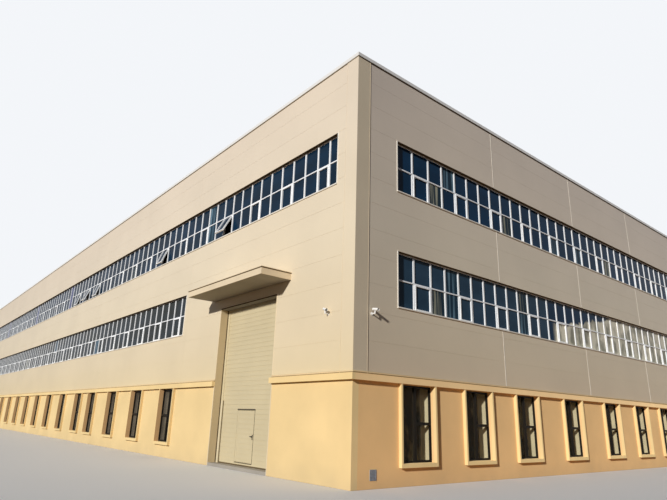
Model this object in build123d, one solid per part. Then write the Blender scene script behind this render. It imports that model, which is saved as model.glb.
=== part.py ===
"""Factory building, 1:2 scale model.

Three storeys on a nearly level site: a rendered ground storey with tall windows, two ribbons of
windows above it in panel cladding, a metal coping, and a tall sectional door under a canopy with
a hinged wicket door in it. All lengths are millimetres of the model, so twice these are real.

The front wall faces -Y and holds the door, the right wall faces +X. The origin is the centre of
the footprint, at ground level. Along the front and back walls a position is counted from the
right corner, and along the side walls from the front corner. A depth is counted inwards from the
outer face of a wall, so a negative depth stands proud of it.
"""

import os

from build123d import *

# Whole building
LENGTH = 37600
WIDTH = 15850
WALL = 130
BAND_TOP = 1716
BAND = 104
BAND_BOTTOM = BAND_TOP - BAND
TOP = 7714
CAP = 24
WALL_TOP = TOP - CAP

# Ribbons of windows
LOWER_SILL = 2931
LOWER_RIBBON = 1029
LOWER_HEAD = LOWER_SILL + LOWER_RIBBON
UPPER_SILL = 5160
UPPER_RIBBON = 1046
UPPER_HEAD = UPPER_SILL + UPPER_RIBBON
FRONT_RIBBON_END = 543
SIDE_RIBBON_END = 1051
LOWER_RIBBON_START = 6497
GLASS_DEPTH = 84
GLASS = 10

# Floors and roof
GROUND_FLOOR_TOP = 60
SILL_OVER_FLOOR = 450
SECOND_FLOOR_TOP = LOWER_SILL - SILL_OVER_FLOOR
THIRD_FLOOR_TOP = UPPER_SILL - SILL_OVER_FLOOR
SLAB = 100
PARAPET = 514
ROOF_TOP = TOP - PARAPET
ROOF_THICKNESS = 60
DOOR_BAY_MARGIN = 600
DOOR_BAY_DEPTH = 3816
SLAB_JOINT = 10

# Ground-storey windows: each number in a list is where the outer edge of a surround starts
FIRST_GROUP = [6526 + 2023 * i for i in range(4)]
SECOND_GROUP_START = 14143
SECOND_GROUP_PITCH = 2067
BESIDE_DOOR = [2480, 4503]
SIDE_WINDOWS = [1046, 2771, 4491, 6446, 8463, 10286, 11971, 13829]
FRONT_SURROUND = 860
SIDE_SURROUND = 915
SURROUND_EDGE = 40
SURROUND_FOOT = 64
SURROUND_PROUD = 64
WINDOW_BOTTOM = 350
WINDOW_LINTEL = 12
WINDOW_TOP = BAND_BOTTOM - WINDOW_LINTEL
END_MARGIN = 900
BAND_PROUD = 70

# Coping
COPING_DROP = 86
COPING_LIP = 12
COPING_GAP = 8

# Door
DOOR_START = 2286
DOOR_WIDTH = 2245
DOOR_END = DOOR_START + DOOR_WIDTH
DOOR_HEAD = 3314
CURTAIN_SETBACK = 64
CURTAIN_DEPTH = WALL + CURTAIN_SETBACK
CURTAIN = 26
GUIDE_WIDTH = 24
GUIDE_LIP = 8
GUIDE_BACK = CURTAIN_DEPTH + CURTAIN + 16
JAMB_WIDTH = 100
JAMB_BACK = GUIDE_BACK + 4

# Wicket door
WICKET_FROM_JAMB = 824
WICKET_WIDTH = 650
WICKET_START = DOOR_START + WICKET_FROM_JAMB
WICKET_END = WICKET_START + WICKET_WIDTH
WICKET_RAIL = 65
CLEARANCE = 6
WICKET_BOTTOM = GROUND_FLOOR_TOP + WICKET_RAIL + CLEARANCE
WICKET_HEIGHT = 990
WICKET_TOP = WICKET_BOTTOM + WICKET_HEIGHT
WICKET = 24
HANDLE_HEIGHT = 499
HANDLE_INSET = 32

# Hinges of the wicket door
HINGE_AXIS_OUT = 8
HINGE_RADIUS = 6
HINGE_KNUCKLE = 40
HINGE_END_KNUCKLE = 24
HINGE_PLAY = 0.3
HINGE_STRAP = 45
HINGE_STRAP_THICKNESS = 4
HINGE_FROM_ENDS = 150

# Canopy
CANOPY_PAST_RIGHT = 457
CANOPY_PAST_LEFT = 355
CANOPY_OVER_HEAD = 229
CANOPY_REACH = 686
CANOPY = 148

# Small fittings: the distance along the wall and the height of each
FRONT_CAMERA = (657, 2766)
SIDE_CAMERA = (409, 2743)
GRILLE = (457, 200)
GRILLE_SIZE = (143, 160)

HALF_LENGTH = LENGTH / 2
HALF_WIDTH = WIDTH / 2


def block(x_range, y_range, z_range):
    """A box given by its lowest and highest X, Y and Z."""
    size = [high - low for low, high in (x_range, y_range, z_range)]
    middle = [(high + low) / 2 for low, high in (x_range, y_range, z_range)]
    return Pos(*middle) * Box(*size)


def on_face(face, along, depth, height):
    """A box on one wall, from its range along the wall, its range of depth and its height."""
    if face == "front":
        x_range = (HALF_LENGTH - along[1], HALF_LENGTH - along[0])
        y_range = (-HALF_WIDTH + depth[0], -HALF_WIDTH + depth[1])
    elif face == "back":
        x_range = (HALF_LENGTH - along[1], HALF_LENGTH - along[0])
        y_range = (HALF_WIDTH - depth[1], HALF_WIDTH - depth[0])
    elif face == "right":
        x_range = (HALF_LENGTH - depth[1], HALF_LENGTH - depth[0])
        y_range = (-HALF_WIDTH + along[0], -HALF_WIDTH + along[1])
    else:
        x_range = (-HALF_LENGTH + depth[0], -HALF_LENGTH + depth[1])
        y_range = (-HALF_WIDTH + along[0], -HALF_WIDTH + along[1])
    return block(x_range, y_range, height)


def front_windows():
    """Two evenly spaced groups, the second as long as the wall allows."""
    starts = list(FIRST_GROUP)
    start = SECOND_GROUP_START
    while start + FRONT_SURROUND < LENGTH - END_MARGIN + FRONT_SURROUND / 2:
        starts.append(start)
        start += SECOND_GROUP_PITCH
    return starts


def windows_of(face):
    """Where the surrounds of one wall start, and how wide they are."""
    if face == "front":
        return front_windows(), FRONT_SURROUND
    if face == "back":
        return BESIDE_DOOR + front_windows(), FRONT_SURROUND
    last = WIDTH - END_MARGIN - SIDE_SURROUND
    return [start for start in SIDE_WINDOWS if start < last], SIDE_SURROUND


def wall_span(face):
    """The long walls run from corner to corner, and the side walls fit between them."""
    if face in ("front", "back"):
        return 0, LENGTH
    return WALL, WIDTH - WALL


def ribbon_span(face, lower):
    """Where a ribbon of windows starts and ends along its wall."""
    if face in ("right", "left"):
        return SIDE_RIBBON_END, WIDTH - SIDE_RIBBON_END
    start = FRONT_RIBBON_END
    if face == "front" and lower:
        start = LOWER_RIBBON_START
    return start, LENGTH - FRONT_RIBBON_END


def window_holes(face):
    """Boxes that cut the ground-storey windows of one wall through it."""
    starts, width = windows_of(face)
    holes = []
    for start in starts:
        along = (start + SURROUND_EDGE, start + width - SURROUND_EDGE)
        holes.append(on_face(face, along, (-10, WALL + 10), (WINDOW_BOTTOM, WINDOW_TOP)))
    return holes


def plinth(face, along):
    """A length of the rendered ground-storey wall with its window holes."""
    wall = on_face(face, along, (0, WALL), (0, BAND_TOP))
    for hole in window_holes(face):
        wall -= hole
    return wall


def surrounds(face):
    """Raised frames round the sides and foot of the ground-storey windows."""
    starts, width = windows_of(face)
    depth = (-SURROUND_PROUD, 0)
    height = (WINDOW_BOTTOM - SURROUND_FOOT, BAND_BOTTOM)
    frames = []
    for start in starts:
        outer = on_face(face, (start, start + width), depth, height)
        inner_along = (start + SURROUND_EDGE, start + width - SURROUND_EDGE)
        inner = on_face(face, inner_along, (-SURROUND_PROUD - 10, 10), (WINDOW_BOTTOM, BAND_BOTTOM + 10))
        frames.append(outer - inner)
    return frames


def ground_panes(face):
    """One pane in each ground-storey window hole of a wall."""
    starts, width = windows_of(face)
    depth = (GLASS_DEPTH, GLASS_DEPTH + GLASS)
    panes = []
    for start in starts:
        along = (start + SURROUND_EDGE, start + width - SURROUND_EDGE)
        panes.append(on_face(face, along, depth, (WINDOW_BOTTOM, WINDOW_TOP)))
    return panes


def upper_wall(face, height, ribbons):
    """Panel cladding over the whole of one wall, with its ribbons cut through."""
    wall = on_face(face, wall_span(face), (0, WALL), height)
    for sill, head, lower in ribbons:
        wall -= on_face(face, ribbon_span(face, lower), (-10, WALL + 10), (sill, head))
    return wall


def ribbon_glass(face, sill, head, lower):
    """One sheet of glass that closes a ribbon."""
    depth = (GLASS_DEPTH, GLASS_DEPTH + GLASS)
    return on_face(face, ribbon_span(face, lower), depth, (sill, head))


def coping(face):
    """A metal cap on the parapet with a lip down each side of the wall."""
    out = COPING_GAP + COPING_LIP
    if face in ("front", "back"):
        along = (-out, LENGTH + out)
    else:
        along = (WALL + out, WIDTH - WALL - out)
    cap = on_face(face, along, (-out, WALL + out), (TOP - COPING_DROP, TOP))
    groove_along = (along[0] - 10, along[1] + 10)
    groove_depth = (-COPING_GAP, WALL + COPING_GAP)
    cap -= on_face(face, groove_along, groove_depth, (TOP - COPING_DROP - 10, WALL_TOP))
    if face in ("front", "back"):
        drop = (TOP - COPING_DROP, WALL_TOP)
        cap += on_face(face, (-out, -COPING_GAP), (-out, WALL + out), drop)
        cap += on_face(face, (LENGTH + COPING_GAP, LENGTH + out), (-out, WALL + out), drop)
        inner_lip = (WALL, WALL + out + 10)
        cap -= on_face(face, (-COPING_GAP, WALL + COPING_GAP), inner_lip, drop)
        cap -= on_face(face, (LENGTH - WALL - COPING_GAP, LENGTH + COPING_GAP), inner_lip, drop)
    return cap


def wall_camera(face, spot):
    """A small round camera housing on an arm from the wall."""
    along, height = spot
    foot = on_face(face, (along - 30, along + 30), (-10, 0), (height - 20, height + 60))
    arm = on_face(face, (along - 12, along + 12), (-90, 0), (height + 8, height + 32))
    body = on_face(face, (along - 85, along + 75), (-120, -64), (height - 22, height + 34))
    return foot + arm + body


def save(name, pieces):
    """Write one node. Several pieces in it are solids that do not touch."""
    shape = Compound(children=pieces) if isinstance(pieces, list) else pieces
    export_step(shape, f"parts/{name}.step")


def save_ground_storey():
    """The rendered walls, the band on top of them and what stands in their windows."""
    save("front_plinth_right", plinth("front", (0, DOOR_START)))
    save("front_plinth_left", plinth("front", (DOOR_END, LENGTH)))
    for face in ("right", "back", "left"):
        save(f"{face}_plinth", plinth(face, wall_span(face)))

    height = (BAND_BOTTOM, BAND_TOP)
    proud = (-BAND_PROUD, 0)
    near_band = on_face("front", (-BAND_PROUD, DOOR_START), proud, height)
    far_band = on_face("front", (DOOR_END, LENGTH + BAND_PROUD), proud, height)
    save("front_band", [near_band, far_band])
    save("back_band", on_face("back", (-BAND_PROUD, LENGTH + BAND_PROUD), proud, height))
    save("right_band", on_face("right", (0, WIDTH), proud, height))
    save("left_band", on_face("left", (0, WIDTH), proud, height))

    panes = []
    for face in ("front", "right", "back", "left"):
        save(f"{face}_window_surrounds", surrounds(face))
        panes += ground_panes(face)
    save("ground_storey_glass", panes)


def save_upper_storeys():
    """The panel walls, split at the door in front, and the glass of their ribbons."""
    upper = (UPPER_SILL, UPPER_HEAD, False)
    lower = (LOWER_SILL, LOWER_HEAD, True)
    save("front_wall_top", upper_wall("front", (LOWER_HEAD, WALL_TOP), [upper]))
    left_part = on_face("front", (DOOR_END, LENGTH), (0, WALL), (BAND_TOP, LOWER_HEAD))
    left_part -= on_face(
        "front", ribbon_span("front", True), (-10, WALL + 10), (LOWER_SILL, LOWER_HEAD + 10)
    )
    save("front_wall_left_of_door", left_part)
    save("front_wall_right_of_door", on_face("front", (0, DOOR_START), (0, WALL), (BAND_TOP, LOWER_HEAD)))
    save("front_wall_over_door", on_face("front", (DOOR_START, DOOR_END), (0, WALL), (DOOR_HEAD, LOWER_HEAD)))
    for face in ("right", "back", "left"):
        save(f"{face}_wall", upper_wall(face, (BAND_TOP, WALL_TOP), [lower, upper]))

    faces = ("front", "right", "back", "left")
    save("lower_ribbon_glass", [ribbon_glass(face, LOWER_SILL, LOWER_HEAD, True) for face in faces])
    save("upper_ribbon_glass", [ribbon_glass(face, UPPER_SILL, UPPER_HEAD, False) for face in faces])
    for face in faces:
        save(f"{face}_coping", coping(face))


def save_floors():
    """Slabs inside the walls. The second floor stops short of the tall door's bay."""
    inside_x = (-HALF_LENGTH + WALL, HALF_LENGTH - WALL)
    inside_y = (-HALF_WIDTH + WALL, HALF_WIDTH - WALL)
    save("ground_floor", block(inside_x, inside_y, (0, GROUND_FLOOR_TOP)))

    height = (SECOND_FLOOR_TOP - SLAB, SECOND_FLOOR_TOP)
    bay_right = HALF_LENGTH - DOOR_START + DOOR_BAY_MARGIN
    bay_left = HALF_LENGTH - DOOR_END - DOOR_BAY_MARGIN
    left_slab = block((inside_x[0], bay_left), inside_y, height)
    right_slab = block((bay_right, inside_x[1]), inside_y, height)
    back_x = (bay_left + SLAB_JOINT, bay_right - SLAB_JOINT)
    back_slab = block(back_x, (-HALF_WIDTH + DOOR_BAY_DEPTH, inside_y[1]), height)
    save("second_floor", [left_slab, back_slab, right_slab])

    save("third_floor", block(inside_x, inside_y, (THIRD_FLOOR_TOP - SLAB, THIRD_FLOOR_TOP)))
    save("roof_deck", block(inside_x, inside_y, (ROOF_TOP - ROOF_THICKNESS, ROOF_TOP)))


def save_doorway():
    """The doorway's lining, its threshold and the guides that the tall door runs in."""
    lining = (WALL, JAMB_BACK)
    height = (GROUND_FLOOR_TOP, DOOR_HEAD)
    save("door_jamb_right", on_face("front", (DOOR_START - JAMB_WIDTH, DOOR_START), lining, height))
    save("door_jamb_left", on_face("front", (DOOR_END, DOOR_END + JAMB_WIDTH), lining, height))
    along = (DOOR_START - JAMB_WIDTH, DOOR_END + JAMB_WIDTH)
    save("door_lintel", on_face("front", along, lining, (DOOR_HEAD, DOOR_HEAD + JAMB_WIDTH)))
    save("door_threshold", on_face("front", (DOOR_START, DOOR_END), (0, WALL), (0, GROUND_FLOOR_TOP)))

    depth = (CURTAIN_DEPTH - GUIDE_LIP, GUIDE_BACK)
    right_guide = on_face("front", (DOOR_START, DOOR_START + GUIDE_WIDTH), depth, height)
    left_guide = on_face("front", (DOOR_END - GUIDE_WIDTH, DOOR_END), depth, height)
    save("door_guides", [right_guide, left_guide])


def save_door():
    """The closed sectional door, in pieces round the wicket door that opens in it."""
    depth = (CURTAIN_DEPTH, CURTAIN_DEPTH + CURTAIN)
    rail_top = GROUND_FLOOR_TOP + WICKET_RAIL
    over_bottom = WICKET_TOP + CLEARANCE
    near_edge = DOOR_START + GUIDE_WIDTH
    far_edge = DOOR_END - GUIDE_WIDTH
    beside = (rail_top, over_bottom)
    save("door_bottom_rail", on_face("front", (near_edge, far_edge), depth, (GROUND_FLOOR_TOP, rail_top)))
    save("door_leaf_right", on_face("front", (near_edge, WICKET_START - CLEARANCE), depth, beside))
    save("door_leaf_left", on_face("front", (WICKET_END + CLEARANCE, far_edge), depth, beside))
    save("door_leaf_top", on_face("front", (near_edge, far_edge), depth, (over_bottom, DOOR_HEAD)))

    wicket_depth = (CURTAIN_DEPTH, CURTAIN_DEPTH + WICKET)
    wicket = on_face("front", (WICKET_START, WICKET_END), wicket_depth, (WICKET_BOTTOM, WICKET_TOP))
    fixed = []
    for middle in hinge_heights():
        wicket += hinge_part((middle - HINGE_KNUCKLE / 2, middle + HINGE_KNUCKLE / 2), -1)
        low = middle - HINGE_KNUCKLE / 2 - HINGE_PLAY
        high = middle + HINGE_KNUCKLE / 2 + HINGE_PLAY
        fixed.append(hinge_part((low - HINGE_END_KNUCKLE, low), 1))
        fixed.append(hinge_part((high, high + HINGE_END_KNUCKLE), 1))
    save("wicket_door", wicket)
    save("wicket_hinges", fixed)
    save("wicket_handle", wicket_handle())


def hinge_heights():
    """Three hinges: one near each end of the wicket door and one halfway."""
    low = WICKET_BOTTOM + HINGE_FROM_ENDS
    high = WICKET_TOP - HINGE_FROM_ENDS
    return low, (low + high) / 2, high


def hinge_part(height, side):
    """A knuckle on the hinge line and its strap, to the left (1) or to the right (-1) of it."""
    line = WICKET_END + CLEARANCE / 2
    out = CURTAIN_DEPTH - HINGE_AXIS_OUT
    middle = Pos(HALF_LENGTH - line, -HALF_WIDTH + out, (height[0] + height[1]) / 2)
    knuckle = middle * Cylinder(HINGE_RADIUS, height[1] - height[0])
    along = sorted((line, line + side * HINGE_STRAP))
    strap = on_face("front", along, (CURTAIN_DEPTH - HINGE_STRAP_THICKNESS, CURTAIN_DEPTH), height)
    return knuckle + strap


def wicket_handle():
    """A lever on a plate near the free edge of the wicket door."""
    middle = WICKET_START + HANDLE_INSET
    height = WICKET_BOTTOM + HANDLE_HEIGHT
    face = CURTAIN_DEPTH
    plate = on_face("front", (middle - 14, middle + 14), (face - 6, face), (height - 60, height + 32))
    neck = on_face("front", (middle - 7, middle + 7), (face - 34, face - 6), (height - 7, height + 7))
    lever = on_face("front", (middle - 7, middle + 50), (face - 40, face - 30), (height - 8, height + 8))
    return plate + neck + lever


def save_fittings():
    """The canopy and the small things fixed to the walls."""
    along = (DOOR_START - CANOPY_PAST_RIGHT, DOOR_END + CANOPY_PAST_LEFT)
    bottom = DOOR_HEAD + CANOPY_OVER_HEAD
    save("canopy", on_face("front", along, (-CANOPY_REACH, 0), (bottom, bottom + CANOPY)))
    save("front_wall_camera", wall_camera("front", FRONT_CAMERA))
    save("right_wall_camera", wall_camera("right", SIDE_CAMERA))
    middle, height = GRILLE
    wide, tall = GRILLE_SIZE
    along = (middle - wide / 2, middle + wide / 2)
    save("vent_grille", on_face("right", along, (-8, 0), (height - tall / 2, height + tall / 2)))


os.makedirs("parts", exist_ok=True)
save_ground_storey()
save_upper_storeys()
save_floors()
save_doorway()
save_door()
save_fittings()
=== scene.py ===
import math
import random

import bmesh
import bpy
from mathutils import Matrix, Vector


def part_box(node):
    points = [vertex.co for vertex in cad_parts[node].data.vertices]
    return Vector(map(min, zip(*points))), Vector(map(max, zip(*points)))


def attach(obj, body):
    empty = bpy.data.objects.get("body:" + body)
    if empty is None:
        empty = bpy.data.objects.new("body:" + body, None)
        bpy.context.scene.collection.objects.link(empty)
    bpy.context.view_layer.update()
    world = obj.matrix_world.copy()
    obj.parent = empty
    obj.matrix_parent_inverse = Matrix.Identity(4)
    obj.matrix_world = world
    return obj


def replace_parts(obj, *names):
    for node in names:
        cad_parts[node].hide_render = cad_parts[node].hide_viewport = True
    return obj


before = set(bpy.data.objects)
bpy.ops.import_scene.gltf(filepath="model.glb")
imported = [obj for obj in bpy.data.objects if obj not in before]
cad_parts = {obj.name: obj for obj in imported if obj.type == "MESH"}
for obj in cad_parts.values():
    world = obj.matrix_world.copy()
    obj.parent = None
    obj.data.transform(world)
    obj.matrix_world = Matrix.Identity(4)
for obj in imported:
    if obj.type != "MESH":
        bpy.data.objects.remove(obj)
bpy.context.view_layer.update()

# Looks of the factory building. Metres, +Z up. The front wall faces -Y and the right wall +X.
# A place along the front or back wall is counted from the right corner, and one along a side
# wall from the front corner. A depth is counted inwards from the wall's face: below 0 is proud.

shuffle = random.Random(7)


def by_wall(on_long, on_side):
    """What both long walls have and what both side walls have, found by a wall's name."""
    return {"front": on_long, "back": on_long, "right": on_side, "left": on_side}


def height_of(node):
    """Foot and head of a node of the part."""
    low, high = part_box(node)
    return low.z, high.z


FACES = ("front", "right", "back", "left")
LONG_WALLS = ("front", "back")
SIDE_WALLS = ("right", "left")
WALL_LOW, WALL_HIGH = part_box("front_wall_top")
LENGTH = WALL_HIGH.x - WALL_LOW.x
HALF_LENGTH = LENGTH / 2
HALF_WIDTH = -WALL_LOW.y
WIDTH = 2 * HALF_WIDTH
SPAN = by_wall(LENGTH, WIDTH)
WALL_TOP = WALL_HIGH.z
BAND_FOOT, BAND_TOP = height_of("front_band")
COPING_LOW, COPING_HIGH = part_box("front_coping")

# Small sizes that many pieces share
HAIR = 0.001
FINE_BEVEL = 0.001
BEVEL = 0.002
SOFT_BEVEL = 0.003

# Ribbons of windows, from the glass that closes them
LOWER_RIBBON = height_of("lower_ribbon_glass")
UPPER_RIBBON = height_of("upper_ribbon_glass")
RIBBONS = ((True, "lower", LOWER_RIBBON), (False, "upper", UPPER_RIBBON))
FRONT_RIBBON_END = 0.543
SIDE_RIBBON_END = 1.051
LOWER_RIBBON_START = 6.497
GLASS_DEPTH = 0.084

# Windows of the ribbons. A row has its first mullion, its second and the pitch of the others,
# and ends with a pane no narrower than a share of the pitch.
FRAME_FACE = 0.064
FRAME_DEPTH = 0.050
MULLION = 0.036
TRANSOM = 0.023
FRAME_EDGE = 0.020
SASH_BAR = 0.027
SASH_PROUD = 0.010
SASH_DEPTH = 0.022
SASH_EVERY = 3
FIRST_SASH = 1
PANE = 0.006
PANE_WANDER = 0.001
LONG_ROW = (0.857, 1.222, 0.416)
LOWER_FRONT_ROW = (6.90, 7.32, 0.416)
SIDE_ROW = (1.546, 2.03, 0.428)
LEAST_END_PANE = 0.4

# Folded metal round the ribbons
TRIM_WIDTH = 0.024
TRIM_PROUD = 0.012
SILL_PROUD = 0.012
SOFFIT = 0.003

# Cladding
COURSE = 0.4943
FIRST_JOINT = 2.257
GROOVE = by_wall(0.003, 0.0025)
SKIN = 0.003
CORNER_TRIM = 0.309
FLASHING_TOP = 1.763
STRIP_PROUD = 0.004
SIDE_SEAMS = (4.257, 7.943, 11.6)
LONG_SEAMS = (6.314, 10.0, 13.8, 17.71, 21.83, 25.94, 29.94, 33.95)
SEAMS = by_wall(LONG_SEAMS, SIDE_SEAMS)

# What stands behind the panes, or shows in them, by wall and ribbon, with True for the lower ribbon. A pane's
# number along its wall gives what its upper and its lower light have, as one of the kinds named here.
CLEAR, BLUE_CURTAIN, BEIGE_CURTAIN, PALE_REFLECTION, FULL_HEIGHT, SIDE_CLEAR = range(6)
# Along the right wall's lower ribbon, from here on, the panes show a pale painted reflection.
REFLECTION_START = 6.6
BEHIND_PANES = {
    ("front", True): {17: (0, 1), 31: (1, 0), 44: (0, 2)},
    ("front", False): {12: (1, 1), 25: (0, 2), 43: (4, 4), 58: (4, 4), 76: (4, 4)},
    ("right", True): {2: (0, 2), 3: (1, 1), 8: (0, 0), 9: (2, 1), 11: (0, 0), 12: (1, 1)},
    # On the right wall's upper ribbon, the blue curtain in pane 13's lower light is a painted reflection.
    ("right", False): {2: (0, 2), 3: (1, 0), 8: (0, 2), 13: (0, 1), 16: (0, 1), 20: (0, 2)},
    ("back", True): {5: (1, 1), 6: (1, 2), 20: (0, 2), 33: (1, 1), 60: (2, 2)},
    ("back", False): {9: (0, 1), 27: (2, 2), 48: (1, 0), 71: (0, 2)},
    ("left", True): {7: (1, 1), 8: (1, 2), 21: (0, 2)},
    ("left", False): {4: (0, 2), 17: (1, 1)},
}
# Sashes that stand open, listed in the same way, with their angles in degrees
OPENED = {
    ("front", False): {10: 27, 19: 20, 34: 16, 37: 20, 40: 14},
    ("back", False): {13: 24, 28: 16, 31: 20},
    ("back", True): {46: 22},
}

# Ground storey
PANES_HEIGHT = height_of("ground_storey_glass")
FRAME_FRONT = 0.052
FRAME_BACK = 0.096
REVEAL_BACK = 0.300

# Doorway and tall door
OVER_DOOR_LOW, OVER_DOOR_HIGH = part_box("front_wall_over_door")
DOORWAY = (HALF_LENGTH - OVER_DOOR_HIGH.x, HALF_LENGTH - OVER_DOOR_LOW.x)
DOOR_HEAD = OVER_DOOR_LOW.z
CURTAIN_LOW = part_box("door_leaf_top")[0]
WICKET_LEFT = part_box("door_leaf_left")[1].x
WICKET_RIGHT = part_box("door_leaf_right")[0].x
WICKET_GAP = 0.006
SLAT = 0.0945
SLAT_GAP = 0.020
SLAT_PROUD = 0.003
LEAST_SLAT = 0.012
GUARD_TOP = 1.320
GUIDE_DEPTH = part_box("door_guides")[0].y + HALF_WIDTH
LINING = 0.004
EDGE_SHADOW = 0.022
LINED_HEIGHT = (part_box("door_threshold")[1].z, DOOR_HEAD - LINING)


def place(face, along, depth, height):
    """Lowest and highest corner of a box on one wall."""
    if face in LONG_WALLS:
        x_range = (HALF_LENGTH - along[1], HALF_LENGTH - along[0])
    elif face == "right":
        x_range = (HALF_LENGTH - depth[1], HALF_LENGTH - depth[0])
    else:
        x_range = (-HALF_LENGTH + depth[0], -HALF_LENGTH + depth[1])
    if face in SIDE_WALLS:
        y_range = (-HALF_WIDTH + along[0], -HALF_WIDTH + along[1])
    elif face == "front":
        y_range = (-HALF_WIDTH + depth[0], -HALF_WIDTH + depth[1])
    else:
        y_range = (HALF_WIDTH - depth[1], HALF_WIDTH - depth[0])
    low, high = zip(x_range, y_range, height)
    return Vector(low), Vector(high)


def wall_matrix(face):
    """Takes (along, depth, height) on a wall to its place in the building."""
    if face in LONG_WALLS:
        inwards = 1 if face == "front" else -1
        rows = ((-1, 0, 0, HALF_LENGTH), (0, inwards, 0, -inwards * HALF_WIDTH))
    else:
        inwards = -1 if face == "right" else 1
        rows = ((0, inwards, 0, -inwards * HALF_LENGTH), (1, 0, 0, -HALF_WIDTH))
    return Matrix((*rows, (0, 0, 1, 0), (0, 0, 0, 1)))


def add_block(bm, low, high, bevel=0.0):
    """A box between two corners, with its edges bevelled if asked."""
    matrix = Matrix.Translation((low + high) / 2) @ Matrix.Diagonal((*(high - low), 1))
    verts = bmesh.ops.create_cube(bm, size=1, matrix=matrix)["verts"]
    if bevel:
        edges = list({edge for vert in verts for edge in vert.link_edges})
        shape = {"affect": "EDGES", "segments": 1, "profile": 0.5, "material": -1}
        verts = bmesh.ops.bevel(bm, geom=edges, offset=bevel, **shape)["verts"]
    return verts


def add_box(bm, x_range, y_range, z_range, bevel=0.0):
    """A box given by its three ranges."""
    low, high = zip(x_range, y_range, z_range)
    return add_block(bm, Vector(low), Vector(high), bevel)


def add_on(bm, face, along, depth, height, bevel=0.0):
    """A box on one wall."""
    low, high = place(face, along, depth, height)
    return add_block(bm, low, high, bevel)


def add_bars(bm, face, along, depth, height, bar):
    """The four bars of an opening leaf, its uprights the full height."""
    near, far = along
    low, high = height
    inner = (near + bar, far - bar)
    verts = add_on(bm, face, (near, near + bar), depth, height)
    verts += add_on(bm, face, (far - bar, far), depth, height)
    verts += add_on(bm, face, inner, depth, (low, low + bar))
    verts += add_on(bm, face, inner, depth, (high - bar, high))
    return verts


def add_object(name, data):
    """An object of the scene, from its mesh, lamp or camera."""
    thing = bpy.data.objects.new(name, data)
    bpy.context.scene.collection.objects.link(thing)
    return thing


def add_mesh(name, bm, materials):
    """Turn a bmesh into an object of the scene."""
    mesh = bpy.data.meshes.new(name)
    bm.to_mesh(mesh)
    bm.free()
    for material in materials:
        mesh.materials.append(material)
    return add_object(name, mesh)


def make_piece(name, bm, material, body="building"):
    """Turn a bmesh into a finished piece that moves with a body."""
    piece = add_mesh(name, bm, material if isinstance(material, list) else [material])
    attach(piece, body)
    return piece


def make_boxes(name, material, boxes, bevel=0.0):
    """A finished piece made of boxes, each given by its three ranges."""
    bm = bmesh.new()
    for box in boxes:
        add_box(bm, *box, bevel)
    make_piece(name, bm, material)


def make_strips(name, material, strips, bevel=0.0):
    """A finished piece made of boxes on walls, each given by its wall and its three ranges."""
    bm = bmesh.new()
    for strip in strips:
        add_on(bm, *strip, bevel)
    make_piece(name, bm, material)


# Colours and gloss of the finishes
WHITE = (1.0, 1.0, 1.0)
PANEL_CREAM = (0.80, 0.68, 0.50)
RENDER_YELLOW = (0.868, 0.66, 0.338)
BAND_CREAM = (0.90, 0.685, 0.345)
FOOT_GREY = (0.42, 0.34, 0.24)
DOOR_KHAKI = (0.66, 0.56, 0.355)
FRAME_WHITE = (0.97, 0.99, 1.0)
LINING_TAN = (0.64, 0.51, 0.305)
NAVY = (0.008, 0.022, 0.042)
LOW_NAVY = (0.024, 0.028, 0.026)
# The side walls' glass is bluer than the long walls': painted light from the sky.
SIDE_NAVY = (0.001, 0.027, 0.070)
LOW_SIDE_NAVY = (0.018, 0.048, 0.084)
INDIGO = (0.055, 0.070, 0.18)
PALE_INDIGO = (0.075, 0.09, 0.21)
PANEL_GLOSS = 0.12
GLASS_GLOSS = 0.03
GLASS_WAVES = {"scale": 2.4, "detail": 1.0, "strength": 0.2, "distance": 0.003}

# Tones of the coated panels, by height on the wall. They hold painted light: warmer and yellower low down,
# where warm light comes up from the ground, bluer on the side walls, which the sky lights, and darker near
# the top of the side walls.
LONG_TONES = (
    (1.8, (0.812, 0.668, 0.426)),
    (2.6, (0.812, 0.678, 0.468)),
    (4.2, (0.826, 0.710, 0.525)),
    (6.6, (0.812, 0.698, 0.548)),
    (7.6, (0.808, 0.688, 0.545)),
)
SIDE_TONES = (
    (1.8, (0.805, 0.672, 0.492)),
    (2.3, (0.820, 0.698, 0.513)),
    (4.3, (0.820, 0.718, 0.562)),
    (6.4, (0.800, 0.690, 0.564)),
    (7.4, (0.765, 0.662, 0.554)),
)


# Materials


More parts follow.
